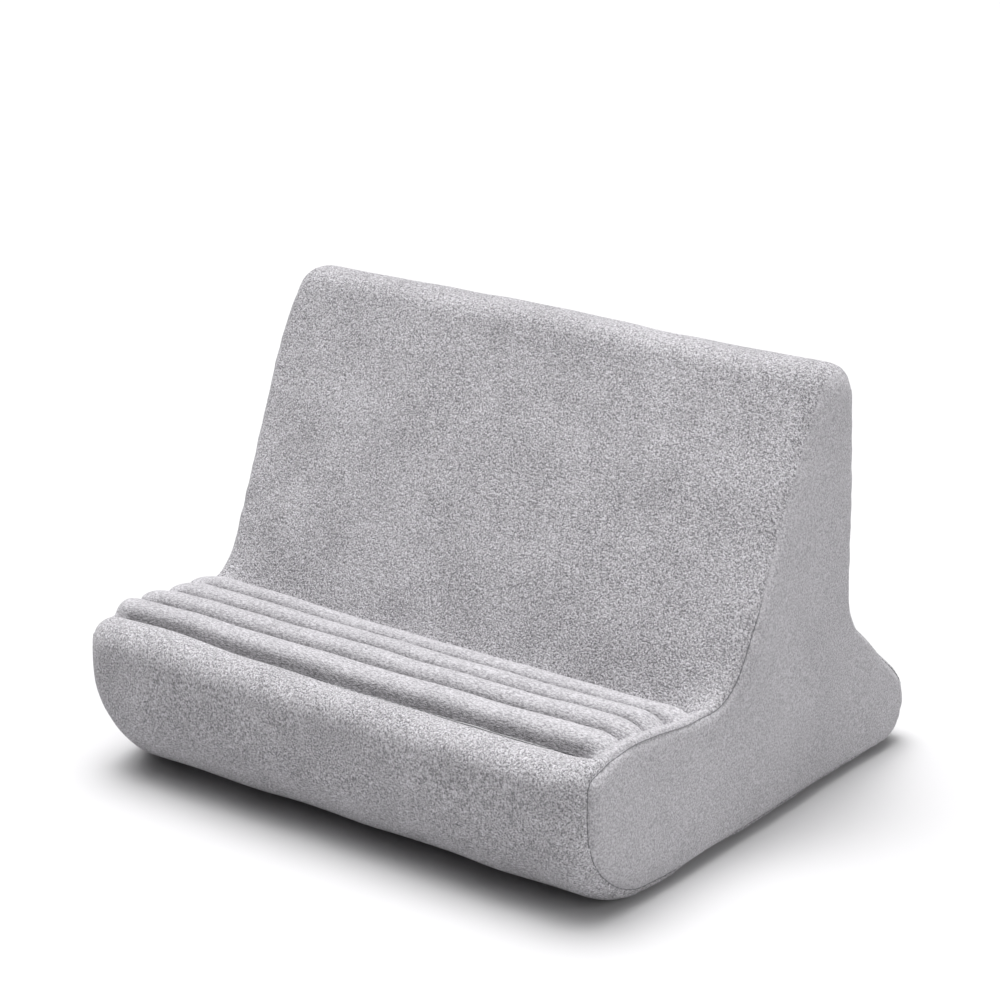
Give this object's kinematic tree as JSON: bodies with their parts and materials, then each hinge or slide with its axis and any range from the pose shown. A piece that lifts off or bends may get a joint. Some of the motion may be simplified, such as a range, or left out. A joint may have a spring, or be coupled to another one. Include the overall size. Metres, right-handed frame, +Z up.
{
  "type": "tablet stand",
  "caption": "Cushioned foam tablet stand with a plush cover, ribbed front ledge, leaning backrest and a zip across the rear face.",
  "frame": {"origin": "on the floor under the middle of the stand's outline", "axes": "+X across the stand to its right side as seen from the front, +Y from the nose to the rear foot, +Z up"},
  "size_m": [0.28, 0.24, 0.191],
  "materials": {
    "plush": "short-pile light grey plush, mottled nap",
    "foam": "open-cell upholstery foam",
    "rib_foam": "soft foam rod",
    "lining": "plain woven lining",
    "thread": "spun polyester thread",
    "zip_tape": "woven herringbone tape",
    "zip_coil": "nylon coil",
    "zip_metal": "plated, satin",
    "label": "blank satin ribbon"
  },
  "bodies": {
    "stand": {"foam_core": "foam", "rib_filler_1": "rib_foam", "rib_filler_2": "rib_foam", "rib_filler_3": "rib_foam", "rib_filler_4": "rib_foam", "ledge_backing": "lining", "ledge_panel": "plush", "nose_panel": "plush", "backrest_panel": "plush", "rear_upper_panel": "plush", "rear_lower_panel": "plush", "base_panel": "plush", "side_panel_left": "plush", "side_panel_right": "plush", "side_seam_left": "thread", "side_seam_right": "thread", "channel_stitching": "thread", "zip_stitching": "thread", "zip_tape_upper": "zip_tape", "zip_tape_lower": "zip_tape", "zip_coil_upper": "zip_coil", "zip_coil_lower": "zip_coil", "zip_top_stops": "zip_metal", "zip_bottom_stop": "zip_metal", "care_label": "label"},
    "slider": {"zip_slider": "zip_metal"},
    "pull": {"zip_pull": "zip_metal"}
  },
  "joints": [
    {"name": "zip_slide", "type": "slide", "parent": "stand", "child": "slider", "axis": [1, 0, 0], "range_m": [-0.208, 0]},
    {"name": "pull_hinge", "type": "hinge", "parent": "slider", "child": "pull", "pos_m": [0.1045, 0.07215, 0.101], "axis": [0, 0, -1], "range_deg": [0, 170]}
  ]
}
